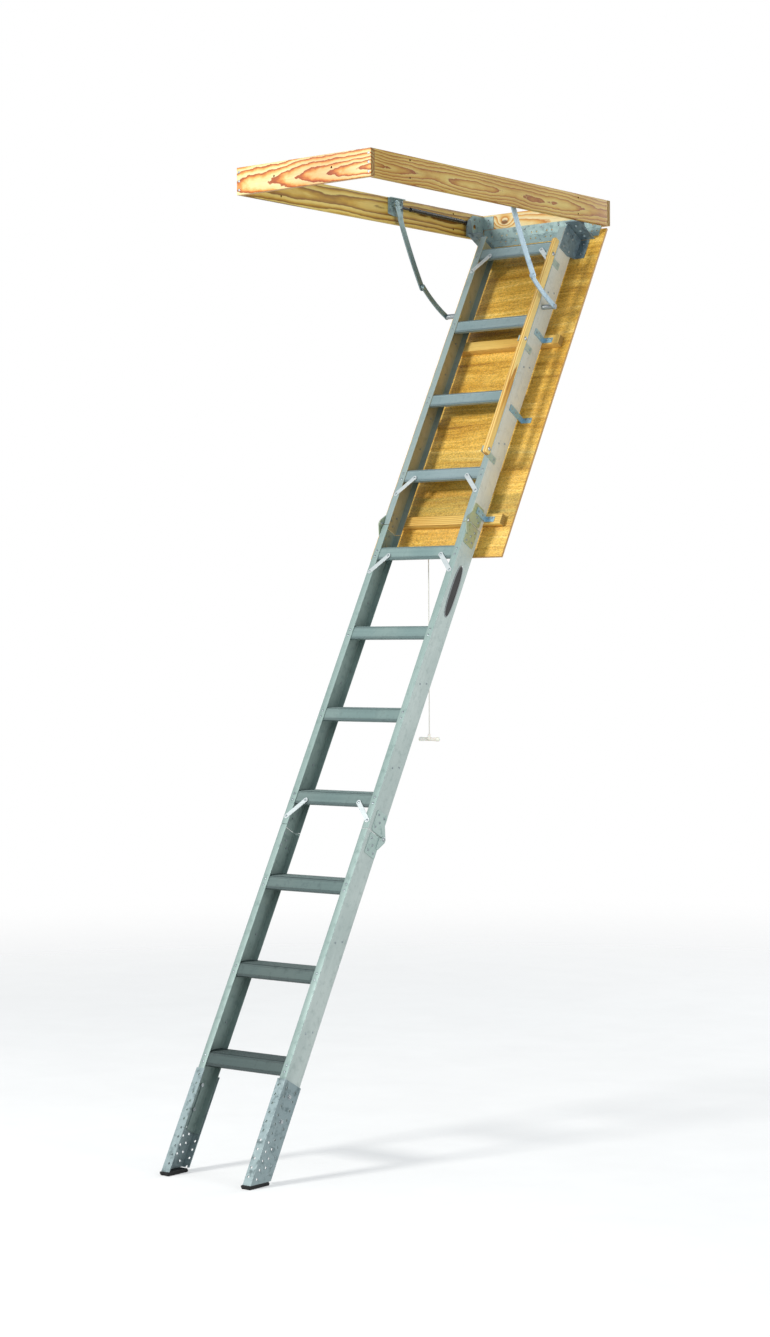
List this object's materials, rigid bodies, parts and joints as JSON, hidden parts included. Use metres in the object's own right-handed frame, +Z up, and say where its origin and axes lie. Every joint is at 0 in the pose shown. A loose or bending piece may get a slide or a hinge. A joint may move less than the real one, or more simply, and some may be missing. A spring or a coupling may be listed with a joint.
{
  "type": "attic ladder",
  "caption": "Folding attic ladder in a wooden ceiling frame, with plywood door, hinged aluminium sections, power arms, gas struts, handrail and sliding feet.",
  "frame": {"origin": "centre of the ceiling opening, on the plane of the underside of the wooden frame", "axes": "+X is the climber's right, +Y points to the hinged header end of the opening, +Z is up into the attic"},
  "size_m": [0.56, 1.8707, 3.2235],
  "materials": {
    "pine_side_left": "planed pine, yellow",
    "pine_side_right": "planed pine, tan",
    "pine_header": "planed pine, pale",
    "pine_front": "planed pine, strong red grain",
    "zinc_screws": "zinc plated",
    "galvanised_steel": "galvanised",
    "dark_galvanised_steel": "dark galvanised",
    "blue_zinc_steel": "blue zinc",
    "plywood": "lauan plywood",
    "pine_batten": "planed pine",
    "pine_handrail": "planed pine",
    "rail_aluminium": "mill finish extrusion",
    "tread_aluminium": "mill finish extrusion",
    "brace_aluminium": "mill finish",
    "hinge_plate_steel": "zinc plated",
    "rivet_aluminium": "formed rivet",
    "bright_steel": "bright zinc",
    "badge_black": "blank badge",
    "shoe_steel": "perforated, galvanised",
    "rubber_black": "moulded",
    "arm_steel": "zinc plated",
    "strut_rod_black": "black",
    "strut_black": "semi gloss black",
    "cord_fibre": "braided",
    "handle_plastic": "white"
  },
  "bodies": {
    "frame": {"side_board_left": "pine_side_left", "side_board_right": "pine_side_right", "header_board": "pine_header", "front_board": "pine_front", "frame_screws": "zinc_screws", "header_hinge_leaf": "galvanised_steel", "hinge_pin": "bright_steel", "corner_plate_left": "galvanised_steel", "corner_plate_right": "galvanised_steel", "arm_bracket_left": "galvanised_steel", "arm_bracket_right": "galvanised_steel"},
    "door": {"door_panel": "plywood", "door_battens": "pine_batten", "door_hinge_leaf": "galvanised_steel", "door_screws": "zinc_screws", "top_bracket_left": "dark_galvanised_steel", "top_bracket_right": "dark_galvanised_steel", "rail_clips": "blue_zinc_steel", "upper_rail_left": "rail_aluminium", "upper_rail_right": "rail_aluminium", "upper_treads": "tread_aluminium", "upper_rivets": "rivet_aluminium", "upper_braces": "brace_aluminium", "handrail": "pine_handrail", "handrail_brackets": "galvanised_steel", "handrail_bolts": "bright_steel", "upper_hinge_plates": "hinge_plate_steel", "upper_hinge_pins": "bright_steel", "arm_studs": "bright_steel", "cord_eye": "bright_steel"},
    "middle": {"middle_rail_left": "rail_aluminium", "middle_rail_right": "rail_aluminium", "middle_treads": "tread_aluminium", "middle_braces": "brace_aluminium", "middle_rivets": "rivet_aluminium", "middle_top_plates": "hinge_plate_steel", "middle_bottom_plates": "hinge_plate_steel", "middle_hinge_pins": "bright_steel", "badge": "badge_black"},
    "lower": {"lower_rail_left": "rail_aluminium", "lower_rail_right": "rail_aluminium", "lower_treads": "tread_aluminium", "lower_rivets": "rivet_aluminium", "lower_hinge_plates": "hinge_plate_steel"},
    "foot_left": {"foot_shoe_left": "shoe_steel", "foot_pad_left": "rubber_black", "foot_bolts_left": "bright_steel"},
    "foot_right": {"foot_shoe_right": "shoe_steel", "foot_pad_right": "rubber_black", "foot_bolts_right": "bright_steel"},
    "arm_upper_left": {"arm_upper_left": "arm_steel"},
    "arm_upper_right": {"arm_upper_right": "arm_steel"},
    "arm_lower_left": {"arm_lower_left": "arm_steel"},
    "arm_lower_right": {"arm_lower_right": "arm_steel"},
    "strut_rod_left": {"strut_rod_left": "strut_rod_black"},
    "strut_rod_right": {"strut_rod_right": "strut_rod_black"},
    "strut_cylinder_left": {"strut_cylinder_left": "strut_black"},
    "strut_cylinder_right": {"strut_cylinder_right": "strut_black"},
    "cord": {"pull_cord": "cord_fibre", "pull_handle": "handle_plastic"}
  },
  "joints": [
    {"name": "door_swing", "type": "hinge", "parent": "frame", "child": "door", "pos_m": [0, 0.662, -0.004], "axis": [-1, 0, 0], "range_deg": [0, 56.5]},
    {"name": "middle_fold", "type": "hinge", "parent": "door", "child": "middle", "pos_m": [0, -0.04647, -1.05648], "axis": [-1, 0, 0], "range_deg": [0, 180]},
    {"name": "lower_fold", "type": "hinge", "parent": "middle", "child": "lower", "pos_m": [0, -0.51706, -2.10344], "axis": [1, 0, 0], "range_deg": [0, 180]},
    {"name": "foot_slide_left", "type": "slide", "parent": "lower", "child": "foot_left", "axis": [0, -0.4833, -0.8755], "range_m": [0, 0.06]},
    {"name": "foot_slide_right", "type": "slide", "parent": "lower", "child": "foot_right", "axis": [0, -0.4833, -0.8755], "range_m": [0, 0.06]},
    {"name": "arm_upper_left_pivot", "type": "hinge", "parent": "frame", "child": "arm_upper_left", "pos_m": [-0.2405, 0.12, 0.066], "axis": [1, 0, 0], "range_deg": [0, 63.93]},
    {"name": "arm_lower_left_pivot", "type": "hinge", "parent": "door", "child": "arm_lower_left", "pos_m": [-0.2335, 0.40091, -0.30398], "axis": [-1, 0, 0], "range_deg": [0, 81.06]},
    {"name": "strut_left_tilt", "type": "hinge", "parent": "frame", "child": "strut_rod_left", "pos_m": [-0.2525, 0.154, 0.059], "axis": [1, 0, 0], "range_deg": [0, 7.9]},
    {"name": "strut_left_stroke", "type": "slide", "parent": "strut_rod_left", "child": "strut_cylinder_left", "axis": [0, 0.9998, -0.0176], "range_m": [0, 0.09967]},
    {"name": "arm_upper_right_pivot", "type": "hinge", "parent": "frame", "child": "arm_upper_right", "pos_m": [0.2405, 0.12, 0.066], "axis": [1, 0, 0], "range_deg": [0, 63.93]},
    {"name": "arm_lower_right_pivot", "type": "hinge", "parent": "door", "child": "arm_lower_right", "pos_m": [0.2335, 0.40091, -0.30398], "axis": [-1, 0, 0], "range_deg": [0, 81.06]},
    {"name": "strut_right_tilt", "type": "hinge", "parent": "frame", "child": "strut_rod_right", "pos_m": [0.2525, 0.154, 0.059], "axis": [1, 0, 0], "range_deg": [0, 7.9]},
    {"name": "strut_right_stroke", "type": "slide", "parent": "strut_rod_right", "child": "strut_cylinder_right", "axis": [0, 0.9998, -0.0176], "range_m": [0, 0.09967]},
    {"name": "cord_swing", "type": "hinge", "parent": "door", "child": "cord", "pos_m": [-0.05, 0.04457, -1.16385], "axis": [1, 0, 0], "range_deg": [0, 56.55]}
  ],
  "couplings": [
    {"joint": "lower_fold", "follows": "middle_fold", "ratio": 1},
    {"joint": "arm_upper_left_pivot", "follows": "door_swing", "ratio": 1.1307},
    {"joint": "arm_lower_left_pivot", "follows": "door_swing", "ratio": 1.4338},
    {"joint": "strut_left_tilt", "follows": "door_swing", "ratio": 0.13953},
    {"joint": "strut_left_stroke", "follows": "door_swing", "m_per_rad": 0.10087},
    {"joint": "arm_upper_right_pivot", "follows": "door_swing", "ratio": 1.1307},
    {"joint": "arm_lower_right_pivot", "follows": "door_swing", "ratio": 1.4338},
    {"joint": "strut_right_tilt", "follows": "door_swing", "ratio": 0.13953},
    {"joint": "strut_right_stroke", "follows": "door_swing", "m_per_rad": 0.10087},
    {"joint": "cord_swing", "follows": "door_swing", "ratio": 1}
  ]
}
